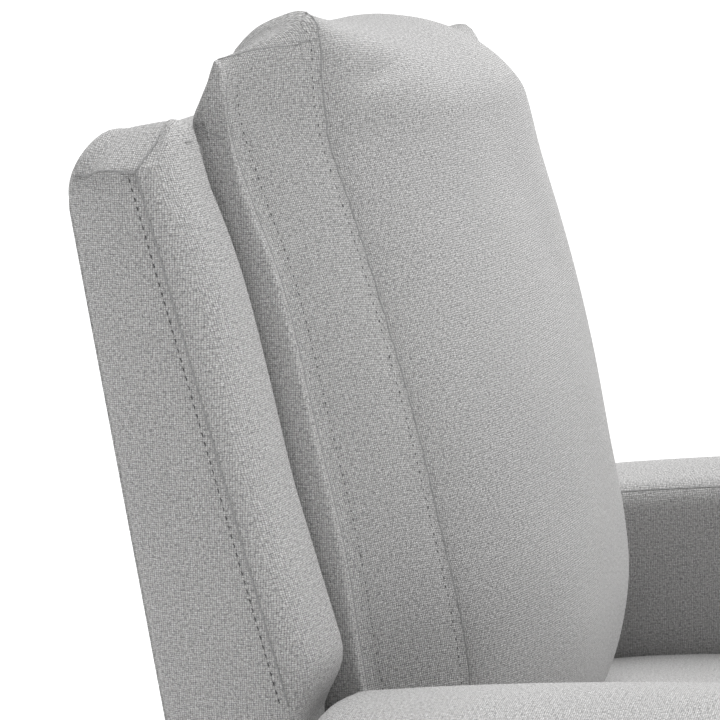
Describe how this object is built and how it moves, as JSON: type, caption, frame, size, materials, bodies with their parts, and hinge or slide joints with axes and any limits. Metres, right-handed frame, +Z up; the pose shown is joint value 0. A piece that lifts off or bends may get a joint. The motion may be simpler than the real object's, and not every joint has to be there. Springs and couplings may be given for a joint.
{
  "type": "glider nursery chair",
  "caption": "Upholstered wing-back nursery chair with padded arms, a raised head cushion, and a swivel and glide mechanism on a round steel base.",
  "frame": {"origin": "on the floor, on the swivel's axis, under the middle of the chair", "axes": "+Z up, the chair faces -Y, +X is the sitter's left"},
  "size_m": [0.75, 0.8077, 1.048],
  "materials": {
    "painted_steel": "satin",
    "zinc_steel": "satin",
    "bearing_steel": "polished",
    "spring_steel": "satin",
    "black_plastic": "matte",
    "white_nylon": "matte",
    "poplar": "matte",
    "plywood": "matte",
    "upholstery": "matte",
    "cushion_fabric": "matte",
    "felt": "matte",
    "webbing": "matte",
    "cambric": "matte"
  },
  "bodies": {
    "base": {"base_ring": "painted_steel", "floor_pads": "black_plastic", "base_spokes": "painted_steel", "hub_plate": "painted_steel", "lower_race": "zinc_steel", "ball_cage": "white_nylon", "bearing_balls": "bearing_steel", "king_bolt": "zinc_steel", "king_washer": "zinc_steel", "king_nut": "zinc_steel"},
    "carriage": {"upper_race": "zinc_steel", "swivel_plate": "painted_steel", "cross_rail_front": "painted_steel", "cross_rail_rear": "painted_steel", "carriage_bolts": "zinc_steel", "hanger_stand_left": "painted_steel", "hanger_stand_right": "painted_steel", "upper_pins": "zinc_steel"},
    "link_rear_left": {"link_rear_left": "painted_steel", "bushes_rear_left": "white_nylon"},
    "link_rear_right": {"link_rear_right": "painted_steel", "bushes_rear_right": "white_nylon"},
    "link_front_left": {"link_front_left": "painted_steel", "bushes_front_left": "white_nylon"},
    "link_front_right": {"link_front_right": "painted_steel", "bushes_front_right": "white_nylon"},
    "seat": {"glide_bracket_left": "painted_steel", "glide_bracket_right": "painted_steel", "lower_pins": "zinc_steel", "pivot_spacers": "zinc_steel", "bracket_screws": "zinc_steel", "arm_bolts": "zinc_steel", "arm_nuts": "zinc_steel", "back_bracket_plates": "zinc_steel", "spring_clips": "zinc_steel", "seat_springs": "spring_steel", "seat_side_rails": "poplar", "seat_rail_front": "poplar", "seat_rail_rear": "poplar", "corner_blocks": "poplar", "arm_frame_left": "poplar", "arm_frame_right": "poplar", "back_post_left": "poplar", "back_post_right": "poplar", "back_rail_top": "poplar", "back_rail_middle": "poplar", "back_rail_lower": "poplar", "front_board": "plywood", "spring_pad": "felt", "dust_cover": "cambric", "back_webbing": "webbing", "seat_cushion": "cushion_fabric", "back_cushion": "cushion_fabric", "front_cover": "upholstery", "arm_cover_left": "upholstery", "arm_cover_right": "upholstery", "wing_left": "upholstery", "wing_right": "upholstery", "outside_back": "upholstery", "top_roll": "upholstery"}
  },
  "joints": [
    {"name": "swivel", "type": "hinge", "parent": "base", "child": "carriage", "pos_m": [0, 0, 0.039], "axis": [0, 0, 1], "continuous": true},
    {"name": "glide", "type": "hinge", "parent": "carriage", "child": "link_rear_left", "pos_m": [0.192, 0.105, 0.215], "axis": [1, 0, 0], "range_deg": [-20, 20]},
    {"name": "link_rear_right_swing", "type": "hinge", "parent": "carriage", "child": "link_rear_right", "pos_m": [-0.192, 0.105, 0.215], "axis": [1, 0, 0], "range_deg": [-20, 20]},
    {"name": "link_front_left_swing", "type": "hinge", "parent": "carriage", "child": "link_front_left", "pos_m": [0.192, -0.105, 0.215], "axis": [1, 0, 0], "range_deg": [-20, 20]},
    {"name": "link_front_right_swing", "type": "hinge", "parent": "carriage", "child": "link_front_right", "pos_m": [-0.192, -0.105, 0.215], "axis": [1, 0, 0], "range_deg": [-20, 20]},
    {"name": "seat_level", "type": "hinge", "parent": "link_rear_left", "child": "seat", "pos_m": [0.192, 0.105, 0.085], "axis": [1, 0, 0], "range_deg": [-20, 20]}
  ],
  "couplings": [
    {"joint": "link_rear_right_swing", "follows": "glide", "ratio": 1},
    {"joint": "link_front_left_swing", "follows": "glide", "ratio": 1},
    {"joint": "link_front_right_swing", "follows": "glide", "ratio": 1},
    {"joint": "seat_level", "follows": "glide", "ratio": -1}
  ]
}
